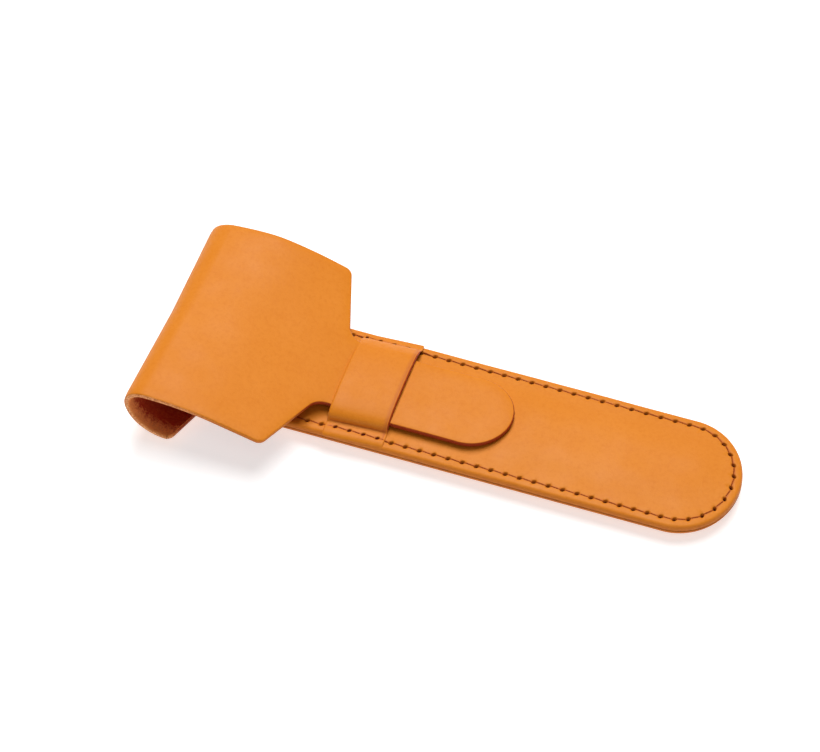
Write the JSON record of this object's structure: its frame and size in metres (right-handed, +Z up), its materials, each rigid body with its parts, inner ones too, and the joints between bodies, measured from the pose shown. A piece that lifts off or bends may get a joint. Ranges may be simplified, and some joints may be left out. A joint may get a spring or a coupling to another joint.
{
  "type": "fountain pen case",
  "caption": "Leather fountain pen case: stitched sleeve with a rounded end, a wide roll-over flap and a tongue held under a keeper strap.",
  "frame": {"origin": "under the middle of the case's length and width, on the surface it lies on", "axes": "+X towards the closed rounded end, +Y across, +Z up through the flap"},
  "size_m": [0.1634, 0.0666, 0.0195],
  "materials": {
    "tan_leather": "smooth vegetable-tanned leather, satin, with a raw flesh side and burnished edges",
    "seam_thread": "waxed thread in the colour of the leather"
  },
  "bodies": {
    "sleeve": {"back_panel": "tan_leather", "front_panel": "tan_leather", "keeper_loop": "tan_leather", "front_seam_thread": "seam_thread", "back_seam_thread": "seam_thread"},
    "fold_1": {"fold_slat_1": "tan_leather"},
    "fold_2": {"fold_slat_2": "tan_leather"},
    "fold_3": {"fold_slat_3": "tan_leather"},
    "fold_4": {"fold_slat_4": "tan_leather"},
    "fold_5": {"fold_slat_5": "tan_leather"},
    "flap": {"flap_panel": "tan_leather", "closure_tongue": "tan_leather"}
  },
  "joints": [
    {"name": "flap_swing", "type": "hinge", "parent": "sleeve", "child": "fold_1", "pos_m": [-0.07336, 0, 0.00378], "axis": [0, -1, 0], "range_deg": [0, 30], "deforming": ["closure_tongue"]},
    {"name": "fold_follow_2", "type": "hinge", "parent": "fold_1", "child": "fold_2", "pos_m": [-0.07796, 0, 0.00644], "axis": [0, -1, 0], "range_deg": [0, 30]},
    {"name": "fold_follow_3", "type": "hinge", "parent": "fold_2", "child": "fold_3", "pos_m": [-0.08062, 0, 0.01104], "axis": [0, -1, 0], "range_deg": [0, 30]},
    {"name": "fold_follow_4", "type": "hinge", "parent": "fold_3", "child": "fold_4", "pos_m": [-0.08074, 0, 0.01492], "axis": [0, -1, 0], "range_deg": [0, 30]},
    {"name": "fold_follow_5", "type": "hinge", "parent": "fold_4", "child": "fold_5", "pos_m": [-0.07953, 0, 0.01703], "axis": [0, -1, 0], "range_deg": [0, 30]},
    {"name": "fold_follow_6", "type": "hinge", "parent": "fold_5", "child": "flap", "pos_m": [-0.07686, 0, 0.0185], "axis": [0, -1, 0], "range_deg": [0, 30]}
  ],
  "couplings": [
    {"joint": "fold_follow_2", "follows": "flap_swing", "ratio": 1},
    {"joint": "fold_follow_3", "follows": "flap_swing", "ratio": 1},
    {"joint": "fold_follow_4", "follows": "flap_swing", "ratio": 1},
    {"joint": "fold_follow_5", "follows": "flap_swing", "ratio": 1},
    {"joint": "fold_follow_6", "follows": "flap_swing", "ratio": 1}
  ]
}
